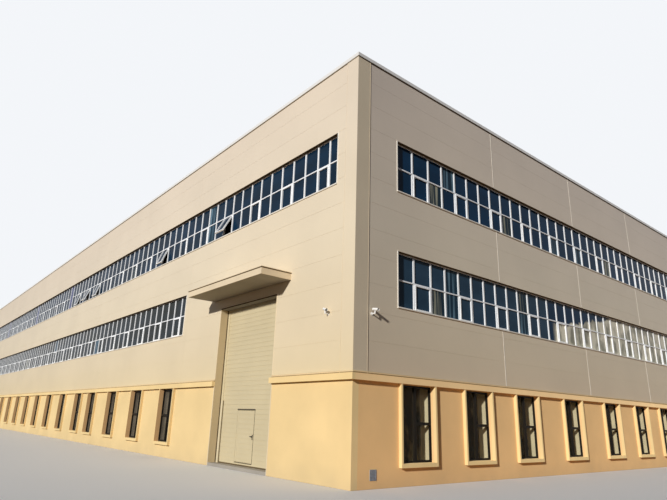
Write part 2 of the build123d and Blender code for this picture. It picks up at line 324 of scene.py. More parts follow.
class NodeTree:
    """The nodes of a material or of the world, with short ways to add the usual ones."""

    def __init__(self, tree):
        self.nodes = tree.nodes
        self.links = tree.links

    def add(self, kind, values):
        """A new node of one kind, with values for some of its inputs."""
        node = self.nodes.new(f"ShaderNode{kind}")
        for label, value in values.items():
            node.inputs[label].default_value = value
        return node

    def carry(self, value, ends, results=(0.0, 1.0), smooth=False):
        """A value carried from one range to another, and held at its ends."""
        limits = {"From Min": ends[0], "From Max": ends[1], "To Min": results[0], "To Max": results[1]}
        node = self.add("MapRange", limits)
        node.interpolation_type = "SMOOTHSTEP" if smooth else "LINEAR"
        self.links.new(value, node.inputs["Value"])
        return node.outputs["Result"]

    def join(self, operation, first, second):
        """Two values joined by one operation."""
        node = self.nodes.new("ShaderNodeMath")
        node.operation = operation
        self.links.new(first, node.inputs[0])
        self.links.new(second, node.inputs[1])
        return node.outputs["Value"]

    def ramp(self, factor, stops):
        """A colour that runs through the stops with the factor."""
        node = self.nodes.new("ShaderNodeValToRGB")
        elements = node.color_ramp.elements
        while len(elements) < len(stops):
            elements.new(1.0)
        for element, (position, colour) in zip(elements, stops):
            element.position = position
            element.color = (*colour, 1)
        self.links.new(factor, node.inputs["Fac"])
        return node.outputs["Color"]

    def mix(self, factor, first, second, blend="MIX"):
        """Two colours joined by a factor, each of the three a fixed value or a socket."""
        node = self.nodes.new("ShaderNodeMix")
        node.data_type = "RGBA"
        node.blend_type = blend
        for label, value in (("Factor", factor), ("A", first), ("B", second)):
            if isinstance(value, bpy.types.NodeSocket):
                self.links.new(value, node.inputs[label])
            else:
                node.inputs[label].default_value = value
        return node.outputs["Result"]

    def multiply(self, first, second):
        """Two colours multiplied."""
        return self.mix(1.0, first, second, "MULTIPLY")

    def seen_rays(self):
        """One for rays that show the background, in the picture or in metal and glass."""
        path = self.nodes.new("ShaderNodeLightPath").outputs
        either = self.join("MAXIMUM", path["Is Camera Ray"], path["Is Glossy Ray"])
        return self.join("MAXIMUM", either, path["Is Transmission Ray"])


class Finish(NodeTree):
    """A material under way, with its shader and the object's coordinates."""

    def __init__(self, name):
        self.material = bpy.data.materials.new(name)
        self.material.use_nodes = True
        super().__init__(self.material.node_tree)
        self.shader = self.nodes["Principled BSDF"]
        self.coordinates = self.nodes.new("ShaderNodeTexCoord").outputs["Object"]

    def noise(self, scale, detail=4.0, stretch=None):
        """Noise on the object's coordinates, stretched along an axis where asked."""
        source = self.coordinates
        texture = self.add("TexNoise", {"Scale": scale, "Detail": detail})
        if stretch:
            mapping = self.add("Mapping", {"Scale": stretch})
            self.links.new(source, mapping.inputs["Vector"])
            source = mapping.outputs["Vector"]
        self.links.new(source, texture.inputs["Vector"])
        return texture.outputs["Fac"]

    def axis(self, letter):
        """One of the object's coordinates."""
        split = self.nodes.new("ShaderNodeSeparateXYZ")
        self.links.new(self.coordinates, split.inputs["Vector"])
        return split.outputs[letter]

    def blend(self, factor, low, high, near=0.35, far=0.65):
        """A colour that goes from low to high between two values of the factor."""
        return self.ramp(factor, ((near, low), (far, high)))

    def add_relief(self, scale, detail, strength, distance):
        """Small relief from noise."""
        bump = self.add("Bump", {"Strength": strength, "Distance": distance})
        self.links.new(self.noise(scale, detail), bump.inputs["Height"])
        self.links.new(bump.outputs["Normal"], self.shader.inputs["Normal"])

    def end(self, tone, roughness, gloss):
        """Put colour, roughness and gloss on the shader's own sockets."""
        self.links.new(tone, self.shader.inputs["Base Color"])
        self.shader.inputs["Roughness"].default_value = roughness
        self.shader.inputs["Specular IOR Level"].default_value = gloss
        return self.material


def scaled(colour, factor):
    """A colour made lighter or darker, and held at white."""
    return tuple(min(1.0, part * factor) for part in colour)


def painted(name, colour, roughness, patch=1.3, spread=0.05, grain=90.0, relief=0.0006, gloss=0.2):
    """A painted or coated surface: broad patches of tone and a fine grain."""
    finish = Finish(name)
    tone = finish.blend(finish.noise(patch), scaled(colour, 1 - spread), scaled(colour, 1 + spread))
    finish.add_relief(grain, detail=2.0, strength=0.35, distance=relief)
    return finish.end(tone, roughness, gloss)


def panel_coating(name, heights, axis, ends, shaded_end):
    """Coated panels: tones that change up the wall, broad patches, and painted shade towards one end."""
    finish = Finish(name)
    risen = finish.carry(finish.axis("Z"), (0.0, COPING_HIGH.z))
    tone = finish.ramp(risen, [(height / COPING_HIGH.z, colour) for height, colour in heights])
    patches = finish.blend(finish.noise(0.7), scaled(WHITE, 0.95), WHITE)
    reached = finish.carry(finish.axis(axis), ends)
    shade = finish.blend(reached, WHITE, shaded_end, 0.0, 1.0)
    finish.add_relief(60.0, detail=2.0, strength=0.35, distance=0.0006)
    return finish.end(finish.multiply(finish.multiply(tone, patches), shade), 0.5, PANEL_GLOSS)


def rendered_masonry(name, colour, foot_grey, sanding=0.4):
    """Sand-faced render: mottled, gritty, and greyer and darker towards its foot."""
    foot_top = 0.34
    finish = Finish(name)
    tone = finish.blend(finish.noise(0.9, 6.0), scaled(colour, 0.94), scaled(colour, 1.05))
    foot = finish.carry(finish.axis("Z"), (0.0, foot_top), (foot_grey, 0.0))
    amount = finish.join("MULTIPLY", foot, finish.noise(3.5, 6.0))
    finish.shader.inputs["Diffuse Roughness"].default_value = sanding
    finish.add_relief(120.0, detail=3.0, strength=0.6, distance=0.0016)
    return finish.end(finish.mix(amount, tone, (*FOOT_GREY, 1)), 0.92, 0.1)


def window_glass(name, colour, pale, low_colour, low_pale):
    """Dark glazing, uneven, with the dim shapes of a room behind it, and browner low on the wall."""
    finish = Finish(name)
    rooms = finish.noise(1.1, 3.0, (1.0, 1.0, 2.2))
    risen = finish.carry(finish.axis("Z"), (LOWER_RIBBON[1], UPPER_RIBBON[0]))
    low_tone = finish.blend(rooms, low_colour, low_pale, 0.42, 0.72)
    tone = finish.blend(rooms, colour, pale, 0.42, 0.72)
    finish.add_relief(**GLASS_WAVES)
    return finish.end(finish.mix(risen, low_tone, tone), 0.05, GLASS_GLOSS)


def clear_glass(name, front_glass_tone, glass_tone, cover):
    """Clear glazing, with a brownish tone over part of what is behind it, paler on the front wall as painted
    light.
    """
    inside_front = (-HALF_WIDTH + 0.3, -HALF_WIDTH + 0.6)
    finish = Finish(name)
    tone = finish.blend(finish.carry(finish.axis("Y"), inside_front), front_glass_tone, glass_tone, 0.0, 1.0)
    streaks = finish.blend(finish.noise(2.0), scaled(WHITE, 0.47), WHITE)
    finish.shader.inputs["Alpha"].default_value = cover
    return finish.end(finish.multiply(tone, streaks), 0.05, GLASS_GLOSS)


def room_behind(name):
    """An unlit room seen through a window, with a few dim shapes in it."""
    finish = Finish(name)
    shapes = finish.noise(3.6, 3.0, (1.0, 1.0, 0.6))
    tone = finish.blend(shapes, (0.006, 0.010, 0.010), (0.38, 0.32, 0.19), 0.52, 0.72)
    return finish.end(tone, 0.9, 0.5)


def curtained_glass(name, colour, pale_tone):
    """Glazing with a curtain pulled across behind it, its creases running down."""
    finish = Finish(name)
    tone = finish.blend(finish.noise(16.0, 2.0, (1.0, 1.0, 0.04)), colour, pale_tone, 0.46, 0.66)
    finish.add_relief(**GLASS_WAVES)
    return finish.end(tone, 0.07, GLASS_GLOSS)


def reflecting_glass(name):
    """Glazing with a pale painted reflection over its lower half, and over all of it along the far stretch.
    """
    half_way = LOWER_RIBBON[0] + 0.50 * (LOWER_RIBBON[1] - LOWER_RIBBON[0])
    over_head = LOWER_RIBBON[1] + 0.02
    begins = -HALF_WIDTH + REFLECTION_START
    finish = Finish(name)
    along = finish.axis("Y")
    rising = (begins + 0.9, begins + 3.3)
    edge = finish.carry(along, rising, (half_way, over_head))
    ragged = finish.carry(finish.noise(3.0), (0.3, 0.7), (-0.09, 0.09))
    below = finish.join("SUBTRACT", finish.join("ADD", edge, ragged), finish.axis("Z"))
    reflected = finish.carry(below, (-0.02, 0.05), smooth=True)
    started = finish.carry(along, (begins - 0.1, begins + 0.1), smooth=True)
    pale_streaks = finish.noise(5.0, 5.0, (1.0, 1.0, 0.5))
    pale_tone = finish.blend(pale_streaks, (0.30, 0.29, 0.22), (0.80, 0.75, 0.59), 0.40, 0.60)
    tone = finish.mix(finish.join("MULTIPLY", reflected, started), (*SIDE_NAVY, 1), pale_tone)
    return finish.end(tone, 0.08, GLASS_GLOSS)


# Painted shade darkens the panels towards the left end of the long walls, as seen from the front, and towards
# the front corner of the side walls.
LONG_ENDS = (11.0, -13.5)
SIDE_ENDS = (-HALF_WIDTH + 2.4, -HALF_WIDTH)
long_panels = panel_coating("cream_panel_coating", LONG_TONES, "X", LONG_ENDS, (0.88, 0.87, 0.85))
side_panels = panel_coating("sky_lit_panel_coating", SIDE_TONES, "Y", SIDE_ENDS, (0.88, 0.88, 0.90))
PANELS = by_wall(long_panels, side_panels)
# The seam covers are paler than the panels: a painted highlight where raking light catches them.
seam_highlight_paint = painted("pale_seam_highlight_coating", (0.84, 0.77, 0.66), 0.5, spread=0.02)
# Painted shadow: dark strips beyond the corner beads and under the long walls' coping.
joint_shadow = painted("painted_joint_shadow", (0.36, 0.30, 0.22), 0.8)
# The side walls' corner plates are a darker copy of the panels' cream: painted shade.
shaded_corner_cream = scaled(PANEL_CREAM, 0.87)
shaded_corner_paint = painted("shaded_corner_plate_coating", shaded_corner_cream, 0.5, spread=0.02, gloss=PANEL_GLOSS)
flashing_tan = (0.76, 0.60, 0.36)
flashing_paint = painted("warm_base_flashing", flashing_tan, 0.5, spread=0.03, gloss=PANEL_GLOSS)
# Painted shade in the gap between the string course and the base flashing.
band_gap_shade = painted("brown_band_gap", (0.36, 0.25, 0.13), 0.9, gloss=0.05)
# Painted shadow under the side walls' coping, darker than on the long walls.
gap_shadow = painted("dark_painted_gap_shadow", (0.13, 0.10, 0.07), 0.9, gloss=0.05)
plinth_render = rendered_masonry("yellow_sand_render", RENDER_YELLOW, 0.3)
band_render = rendered_masonry("cream_smooth_render", BAND_CREAM, 0.0)
# The side walls' plinth and string course are brighter, warmer copies of the render: painted light.
side_render = rendered_masonry("side_lit_sand_render", (0.95, 0.63, 0.30), 0.3, 0.2)
side_band = rendered_masonry("side_lit_smooth_render", (0.96, 0.69, 0.365), 0.0, 0.5)
canopy_render = painted("canopy_cream_render", (0.80, 0.66, 0.46), 0.85, spread=0.06)
# A browner copy of the render for the long walls' window reveals: painted shade.
shaded_reveal_render = painted("brown_reveal_render", (0.80, 0.50, 0.235), 0.9, grain=120.0, gloss=0.1)
coping_metal = painted("pale_coping_metal", (0.84, 0.82, 0.79), 0.45, spread=0.02)
edge_trim = painted("pale_edge_trim", (0.90, 0.85, 0.76), 0.45, spread=0.02)
doorway_trim = painted("cream_doorway_trim", (0.84, 0.70, 0.48), 0.5, spread=0.02)
# Painted shade: dark brown sheets under the ribbons' heads, along the doorway's head and under the canopy's
# capping.
shade_brown = painted("brown_painted_shade", (0.13, 0.085, 0.04), 0.8, gloss=0.05)
# The canopy's soffit: grey-brown concrete, made darker with painted shade.
soffit_concrete_and_shade = painted("grey_brown_soffit_and_shade", (0.42, 0.38, 0.31), 0.85, spread=0.06)
# The doorway's head lining is a darker copy of the lining: painted shade.
head_shade_paint = painted("grey_doorway_head_shade", (0.27, 0.25, 0.21), 0.85, spread=0.06)
lining_paint = painted("tan_reveal_lining", LINING_TAN, 0.5, spread=0.03)
window_white = painted("white_window_frame", FRAME_WHITE, 0.35, spread=0.03, relief=0.0002)
window_bronze = painted("dark_bronze_frame", (0.016, 0.013, 0.010), 0.5, spread=0.2, gloss=0.1)
ribbon_glass = window_glass("deep_blue_glazing", NAVY, (0.008, 0.032, 0.070), LOW_NAVY, (0.030, 0.042, 0.054))
side_pale = (0.002, 0.038, 0.10)
side_glass = window_glass("blue_side_glazing_sky_light", SIDE_NAVY, side_pale, LOW_SIDE_NAVY, (0.028, 0.066, 0.112))
# The ground storey's glass is paler on the front wall: painted light.
ground_glass = clear_glass("clear_ground_glazing", (0.66, 0.555, 0.42), (0.36, 0.285, 0.172), 0.12)
dim_room = room_behind("dim_ground_rooms")
lit_plaster = painted("pale_inner_reveal", (0.88, 0.77, 0.48), 0.9, patch=3.0, spread=0.06)
# The long walls' inner reveals are a dark copy of the plaster: painted shade.
shaded_plaster = painted("shaded_inner_reveal", (0.17, 0.145, 0.085), 0.9, patch=3.0, spread=0.06)
curtain_glass = curtained_glass("blue_curtained_glazing", (0.008, 0.032, 0.058), (0.14, 0.25, 0.33))
beige_glass = curtained_glass("beige_curtained_glazing", (0.010, 0.030, 0.050), (0.42, 0.41, 0.31))
reflection_glass = reflecting_glass("painted_reflection_glazing")
indigo_glass = window_glass("indigo_full_height_glazing", INDIGO, PALE_INDIGO, INDIGO, PALE_INDIGO)
door_paint = painted("khaki_door_coating", DOOR_KHAKI, 0.5, spread=0.03)
door_trim = painted("pale_door_guides", (0.70, 0.605, 0.41), 0.5)
# Dark strips beside the door's guides, painted shadow, and along the door's foot.
dark_strip_paint = painted("dark_edge_strip", (0.14, 0.10, 0.05), 0.8, spread=0.2)
guard_brown = painted("brown_guard_bar", (0.27, 0.21, 0.12), 0.7, gloss=0.1)
# Brown for the wicket's header bar, and for painted shade in the gaps beside and under the wicket.
header_and_gap_shade_brown = painted("brown_header_bar_and_gap_shade", (0.12, 0.10, 0.07), 0.7, gloss=0.1)
camera_white = painted("camera_white_shell", (0.92, 0.91, 0.88), 0.4)
lens_black = painted("camera_black_window", (0.012, 0.012, 0.014), 0.12)
louvre_blue = painted("blue_grey_louvre", (0.33, 0.36, 0.40), 0.5)
roof_felt = painted("grey_roof_membrane", (0.33, 0.32, 0.30), 0.9, patch=0.5, spread=0.06, grain=40.0)
slab_concrete = painted("plain_floor_concrete", (0.42, 0.38, 0.32), 0.85, patch=1.0, spread=0.1)
handle_black = painted("black_lever_handle", (0.02, 0.02, 0.02), 0.4, spread=0.2)


def dress_nodes():
    """Give every CAD node its finish: the last one listed with a word of the node's name."""
    finishes = (
        (plinth_render, ("plinth",)),
        (side_render, ("right_plinth", "left_plinth")),
        (band_render, ("band", "surrounds")),
        (side_band, ("right_band", "left_band")),
        (canopy_render, ("canopy",)),
        (long_panels, ("front_wall", "back_wall")),
        (side_panels, ("right_wall", "left_wall")),
        (coping_metal, ("coping",)),
        (camera_white, ("camera",)),
        (slab_concrete, ("floor", "threshold")),
        (roof_felt, ("roof",)),
        (ribbon_glass, ("glass",)),
        (ground_glass, ("ground_storey_glass",)),
        (lining_paint, ("jamb", "lintel")),
        (door_trim, ("guides",)),
        (door_paint, ("leaf", "rail", "wicket_door", "hinges")),
        (handle_black, ("handle",)),
        (louvre_blue, ("grille",)),
    )
    for name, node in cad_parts.items():
        finish = [paint for paint, words in finishes if any(word in name for word in words)][-1]
        node.data.materials.clear()
        node.data.materials.append(finish)


# Ribbons of windows


def ribbon_span(face, lower):
    """Where a ribbon starts and ends along its wall."""
    if face in SIDE_WALLS:
        return SIDE_RIBBON_END, WIDTH - SIDE_RIBBON_END
    start = LOWER_RIBBON_START if face == "front" and lower else FRONT_RIBBON_END
    return start, LENGTH - FRONT_RIBBON_END


def mullion_row(face, lower):
    """Middles of the mullions of one ribbon."""
    first, following, pitch = SIDE_ROW if face in SIDE_WALLS else LONG_ROW
    if face == "front" and lower:
        first, following, pitch = LOWER_FRONT_ROW
    end = ribbon_span(face, lower)[1]
    middles = [first]
    while following < end - LEAST_END_PANE * pitch:
        middles.append(following)
        following += pitch
    return middles


def open_matrix(face, along, height, degrees):
    """Turns a closed sash of a long wall outwards about its top edge."""
    low, high = place(face, along, (FRAME_FACE, FRAME_FACE), (height, height))
    pivot = (low + high) / 2
    turn = Matrix.Rotation(math.radians(-degrees if face == "front" else degrees), 4, "X")
    return Matrix.Translation(pivot) @ turn @ Matrix.Translation(-pivot)


def add_pane(bm, face, along, height, kind):
    """One pane, a hair out of true like real glazing."""
    depth = GLASS_DEPTH + shuffle.uniform(-PANE_WANDER, PANE_WANDER)
    verts = add_on(bm, face, along, (depth, depth + PANE), height)
    for vert in verts:
        for pane_face in vert.link_faces:
            pane_face.material_index = kind
    return verts


def add_sash(sashes, panes, face, along, height, kind, degrees):
    """A sash proud of the frame, with its pane, turned open where asked."""
    depth = (FRAME_FACE - SASH_PROUD, FRAME_FACE + SASH_DEPTH)
    bars = add_bars(sashes, face, along, depth, height, SASH_BAR)
    inner = (along[0] + SASH_BAR, along[1] - SASH_BAR)
    pane = add_pane(panes, face, inner, (height[0] + SASH_BAR, height[1] - SASH_BAR), kind)
    if degrees:
        turn = open_matrix(face, along, height[1], degrees)
        bmesh.ops.transform(sashes, matrix=turn, verts=bars)
        bmesh.ops.transform(panes, matrix=turn, verts=pane)


def add_ribbon(frames, sashes, panes, face, lower, height):
    """All windows of one ribbon: frame, mullions, transoms, sashes and panes."""
    start, end = ribbon_span(face, lower)
    row = mullion_row(face, lower)
    low, high = height
    middle = (low + high) / 2
    bottom = low + FRAME_EDGE
    top = high - FRAME_EDGE
    half = MULLION / 2
    depth = (FRAME_FACE, FRAME_FACE + FRAME_DEPTH)
    add_on(frames, face, (start, end), depth, (low, bottom))
    add_on(frames, face, (start, end), depth, (top, high))
    uprights = [(start, start + FRAME_EDGE), (end - FRAME_EDGE, end)]
    uprights += [(position - half, position + half) for position in row]
    for upright in uprights:
        add_on(frames, face, upright, depth, (bottom, top))
    over_light = (middle + TRANSOM / 2, top)
    under_light = (bottom, middle - TRANSOM / 2)
    opened = OPENED.get((face, lower), {})
    behind = BEHIND_PANES[face, lower]
    clear = SIDE_CLEAR if face in SIDE_WALLS else CLEAR
    edges = [start + FRAME_EDGE - half] + row + [end - FRAME_EDGE + half]
    for index, (near, far) in enumerate(zip(edges, edges[1:])):
        along = (near + half, far - half)
        over, under = (clear if kind == CLEAR else kind for kind in behind.get(index, (CLEAR, CLEAR)))
        # From here on along the right wall's lower ribbon, both lights show the pale painted reflection.
        if face == "right" and lower and far > REFLECTION_START:
            over, under = PALE_REFLECTION, PALE_REFLECTION
        if over == FULL_HEIGHT:
            add_pane(panes, face, along, (bottom, top), over)
            continue
        add_on(frames, face, along, depth, (under_light[1], over_light[0]))
        add_pane(panes, face, along, over_light, over)
        if index % SASH_EVERY == FIRST_SASH:
            add_sash(sashes, panes, face, along, under_light, under, opened.get(index))
        else:
            add_pane(panes, face, along, under_light, under)


def make_ribbons():
    """The windows of the two upper storeys on all four walls."""
    glass = [ribbon_glass, curtain_glass, beige_glass, reflection_glass, indigo_glass, side_glass]
    for lower, label, height in RIBBONS:
        panes = bmesh.new()
        for face in FACES:
            frames = bmesh.new()
            sashes = bmesh.new()
            add_ribbon(frames, sashes, panes, face, lower, height)
            make_piece(f"{face}_{label}_window_frames", frames, window_white)
            make_piece(f"{face}_{label}_window_sashes", sashes, window_white)
        piece = make_piece(f"{label}_ribbon_panes", panes, glass)
        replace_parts(piece, f"{label}_ribbon_glass")


def make_ribbon_trims():
    """Folded metal round each ribbon, its sill a little further out, and painted shade on the soffit under
    each head.
    """
    for face in FACES:
        trims = bmesh.new()
        heads = bmesh.new()
        soffits = bmesh.new()
        for lower, _, (low, high) in RIBBONS:
            start, end = ribbon_span(face, lower)
            wide = (start - TRIM_WIDTH, end + TRIM_WIDTH)
            add_on(trims, face, wide, (-TRIM_PROUD - SILL_PROUD, 0.0), (low - TRIM_WIDTH, low), SOFT_BEVEL)
            add_on(heads, face, wide, (-TRIM_PROUD / 2, 0.0), (high, high + TRIM_WIDTH), BEVEL)
            # Painted shade on the soffit under the head.
            add_on(soffits, face, (start, end), (0.0, FRAME_FACE), (high - SOFFIT, high))
            for side in ((start - TRIM_WIDTH, start), (end, end + TRIM_WIDTH)):
                add_on(trims, face, side, (-TRIM_PROUD, 0.0), (low, high), SOFT_BEVEL)
        make_piece(f"{face}_ribbon_trims", trims, edge_trim)
        make_piece(f"{face}_ribbon_heads", heads, PANELS[face])
        make_piece(f"{face}_ribbon_soffits", soffits, shade_brown)


# Cladding


def groove_lines():
    """Heights of the joints between the courses of panels."""
    lines = []
    height = FIRST_JOINT
    while height < COPING_LOW.z:
        lines.append(height)
        height += COURSE
    return lines


def cladding_holes(face):
    """Rectangles along and up a wall that its panels leave open."""
    holes = [(*ribbon_span(face, lower), *height) for lower, _, height in RIBBONS]
    if face == "front":
        holes.append((*DOORWAY, 0.0, DOOR_HEAD))
    return holes


def cut_sheet(sheet, point, normal):
    """Cut every face of the sheet along a plane."""
    geometry = sheet.verts[:] + sheet.edges[:] + sheet.faces[:]
    bmesh.ops.bisect_plane(sheet, geom=geometry, dist=1e-6, plane_co=point, plane_no=normal)


def make_cladding(face):
    """Thin panels with open grooves between them, cut from one sheet."""
    start = CORNER_TRIM
    end = SPAN[face] - CORNER_TRIM
    seams = SEAMS[face]
    half = GROOVE[face] / 2
    holes = cladding_holes(face)
    heights = groove_lines()
    panels = bmesh.new()
    centre = Matrix.Translation(((start + end) / 2, 0, (FLASHING_TOP + WALL_TOP) / 2))
    size = Matrix.Diagonal((end - start, 1, WALL_TOP - FLASHING_TOP, 1))
    sheet = centre @ size @ Matrix.Rotation(math.pi / 2, 4, "X")
    bmesh.ops.create_grid(panels, x_segments=1, y_segments=1, size=0.5, matrix=sheet)
    across = [line for joint in seams for line in (joint - half, joint + half)]
    up = [line for joint in heights for line in (joint - half, joint + half)]
    for left, right, low, high in holes:
        across += [left, right]
        up += [low, high]
    for line in across:
        cut_sheet(panels, (line, 0, 0), (1, 0, 0))
    for line in up:
        cut_sheet(panels, (0, 0, line), (0, 0, 1))

    def is_open(middle):
        """Whether a part of the sheet lies in a groove or in a hole."""
        if any(abs(middle.x - joint) < half for joint in seams):
            return True
        if any(abs(middle.z - joint) < half for joint in heights):
            return True
        return any(left < middle.x < right and low < middle.z < high for left, right, low, high in holes)

    gone = [part for part in panels.faces if is_open(part.calc_center_median())]
    bmesh.ops.delete(panels, geom=gone, context="FACES")
    flat = {"angle_limit": 0.01, "use_dissolve_boundaries": False}
    bmesh.ops.dissolve_limit(panels, verts=panels.verts[:], edges=panels.edges[:], **flat)
    grown = bmesh.ops.extrude_face_region(panels, geom=panels.faces[:])
    moved = [part for part in grown["geom"] if isinstance(part, bmesh.types.BMVert)]
    bmesh.ops.translate(panels, vec=(0, -SKIN, 0), verts=moved)
    bmesh.ops.transform(panels, matrix=wall_matrix(face), verts=panels.verts[:])
    bmesh.ops.recalc_face_normals(panels, faces=panels.faces[:])
    make_piece(f"{face}_cladding_panels", panels, PANELS[face])


def make_corner_trims():
    """Folded corner pieces, each leg ending in a small bead with a strip of painted shadow beyond it."""
    trims = by_wall(bmesh.new(), bmesh.new())
    dark_strips = bmesh.new()
    height = (BAND_TOP, COPING_LOW.z)
    plate = 0.010
    bead = 0.007
    bead_proud = 0.005
    for face in FACES:
        out = plate if face in LONG_WALLS else 0.0
        near = CORNER_TRIM
        far = SPAN[face] - CORNER_TRIM
        legs = (
            ((-out, near), (near - bead, near), (near, near + bead)),
            ((far, SPAN[face] + out), (far, far + bead), (far - bead, far)),
        )
        for leg, inner, beyond in legs:
            add_on(trims[face], face, leg, (-plate, 0.0), height)
            add_on(trims[face], face, inner, (-plate - bead_proud, -plate), height, BEVEL)
            add_on(dark_strips, face, beyond, (-SKIN - HAIR, -SKIN / 2), height)
    make_piece("long_corner_trims", trims["front"], long_panels)
    # The side legs take the darker copy: painted shade.
    make_piece("side_corner_trims", trims["right"], shaded_corner_paint)
    make_piece("corner_shadow_strips", dark_strips, joint_shadow)


def make_seam_covers():
    """Cover strips over the upright joints of the side walls, stopped at the ribbons, paler than the panels
    as a painted highlight.
    """
    half = 0.011
    depth = (-SKIN - STRIP_PROUD, -SKIN / 2)
    runs = (
        (FLASHING_TOP, LOWER_RIBBON[0] - TRIM_WIDTH),
        (LOWER_RIBBON[1] + TRIM_WIDTH, UPPER_RIBBON[0] - TRIM_WIDTH),
        (UPPER_RIBBON[1] + TRIM_WIDTH, COPING_LOW.z),
    )
    seams = [(face, (seam - half, seam + half)) for face in SIDE_WALLS for seam in SIDE_SEAMS]
    strips = [(*seam, depth, run) for seam in seams for run in runs]
    make_strips("seam_cover_strips", seam_highlight_paint, strips, FINE_BEVEL)


def make_base_flashings():
    """A drip flashing between the string course and the first panels, with a dark strip of painted shade in
    the gap beneath it.
    """
    gap_shades = by_wall(bmesh.new(), bmesh.new())
    proud = 0.020
    gap_proud = 0.012
    foot = BAND_TOP + 0.018
    head = FLASHING_TOP - 0.004
    runs = (
        ("front", (-proud, DOORWAY[0])),
        ("front", (DOORWAY[1], LENGTH + proud)),
        ("back", (-proud, LENGTH + proud)),
        ("right", (0.0, WIDTH)),
        ("left", (0.0, WIDTH)),
    )
    strips = [(*run, (-proud, 0.0), (foot, head)) for run in runs]
    make_strips("base_flashings", flashing_paint, strips, SOFT_BEVEL)
    for face, along in runs:
        add_on(gap_shades[face], face, along, (-gap_proud, 0.0), (BAND_TOP, foot))
    make_piece("long_base_gaps", gap_shades["front"], band_gap_shade)
    make_piece("side_base_gaps", gap_shades["right"], band_gap_shade)


def make_coping_gaps():
    """Painted shadow along the lower lip of the coping, on the outside of each wall, darker on the side
    walls.
    """
    gap_shades = by_wall(bmesh.new(), bmesh.new())
    height = (COPING_LOW.z - 0.003, COPING_LOW.z + 0.014)
    proud = -HALF_WIDTH - COPING_LOW.y + HAIR
    for face in FACES:
        out = proud if face in LONG_WALLS else 0.0
        add_on(gap_shades[face], face, (-out, SPAN[face] + out), (-proud, 0.0), height)
    make_piece("long_coping_gaps", gap_shades["front"], joint_shadow)
    make_piece("side_coping_gaps", gap_shades["right"], gap_shadow)


# Ground storey


def ground_openings(face):
    """Where each ground-storey window opening of a wall starts and ends, from the panes in them."""
    tolerance = 0.01
    pane_middle = GLASS_DEPTH + 0.005
    spots = set()
    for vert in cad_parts["ground_storey_glass"].data.vertices:
        x, y, _ = vert.co
        along = HALF_LENGTH - x if face in LONG_WALLS else y + HALF_WIDTH
        inwards = {
            "front": y + HALF_WIDTH,
            "back": HALF_WIDTH - y,
            "right": HALF_LENGTH - x,
            "left": x + HALF_LENGTH,
        }
        if abs(inwards[face] - pane_middle) < tolerance:
            spots.add(round(along, 3))
    edges = sorted(spots)
    return list(zip(edges[0::2], edges[1::2]))


def make_ground_windows():
    """Dark metal frames with a mullion, and on one side of it a transom between two opening leaves."""
    low, high = PANES_HEIGHT
    bar = 0.024
    side_bar = 0.016
    leaf_bar = 0.013
    depth = (FRAME_FRONT, 0.100)
    side_depth = (FRAME_FRONT, FRAME_BACK)
    leaf_depth = (0.044, 0.090)
    waist = (low + high) / 2
    inside = (low + bar, high - bar)
    for face in FACES:
        frames = bmesh.new()
        for start, end in ground_openings(face):
            middle = (start + end) / 2
            leaf = (middle + bar / 2, end - side_bar)
            bars = (
                ((start, end), depth, (low, low + bar)),
                ((start, end), depth, (high - bar, high)),
                ((start, start + side_bar), side_depth, inside),
                ((end - side_bar, end), side_depth, inside),
                ((middle - bar / 2, middle + bar / 2), depth, inside),
                (leaf, depth, (waist - bar / 2, waist + bar / 2)),
            )
            for along, inwards, height in bars:
                add_on(frames, face, along, inwards, height)
            add_bars(frames, face, leaf, leaf_depth, (waist + bar / 2, inside[1]), leaf_bar)
            add_bars(frames, face, leaf, leaf_depth, (inside[0], waist - bar / 2), leaf_bar)
        make_piece(f"{face}_ground_window_frames", frames, window_bronze)


def make_dim_rooms():
    """Inner reveals beside and under each ground-storey window, pale on the side walls and dark on the long
    walls as painted shade, and a dark room behind and over it.
    """
    low, high = PANES_HEIGHT
    sheet = 0.004
    inner = (FRAME_BACK, REVEAL_BACK)
    back = (REVEAL_BACK, REVEAL_BACK + sheet)
    rooms = bmesh.new()
    reveals = by_wall(bmesh.new(), bmesh.new())
    for face in FACES:
        for start, end in ground_openings(face):
            wide = (start - sheet, end + sheet)
            add_on(rooms, face, wide, back, (low - sheet, high + sheet))
            add_on(rooms, face, wide, inner, (high - HAIR, high + sheet))
            add_on(reveals[face], face, (start - sheet, start + HAIR), inner, PANES_HEIGHT)
            add_on(reveals[face], face, (end - HAIR, end + sheet), inner, PANES_HEIGHT)
            add_on(reveals[face], face, (start + HAIR, end - HAIR), inner, (low - sheet, low + HAIR))
    make_piece("dim_room_sheets", rooms, dim_room)
    make_piece("side_inner_reveals", reveals["right"], lit_plaster)
    make_piece("long_inner_reveals", reveals["front"], shaded_plaster)


def make_reveal_linings():
    """A browner copy of the render on the sides of the long walls' ground-storey windows, as painted shade.
    """
    proud = -HALF_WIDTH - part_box("front_window_surrounds")[0].y
    skin = 0.002
    depth = (HAIR - proud, FRAME_FRONT)
    linings = []
    for face in LONG_WALLS:
        for start, end in ground_openings(face):
            linings.append((face, (start, start + skin), depth, PANES_HEIGHT))
            linings.append((face, (end - skin, end), depth, PANES_HEIGHT))
    make_strips("reveal_linings", shaded_reveal_render, linings)


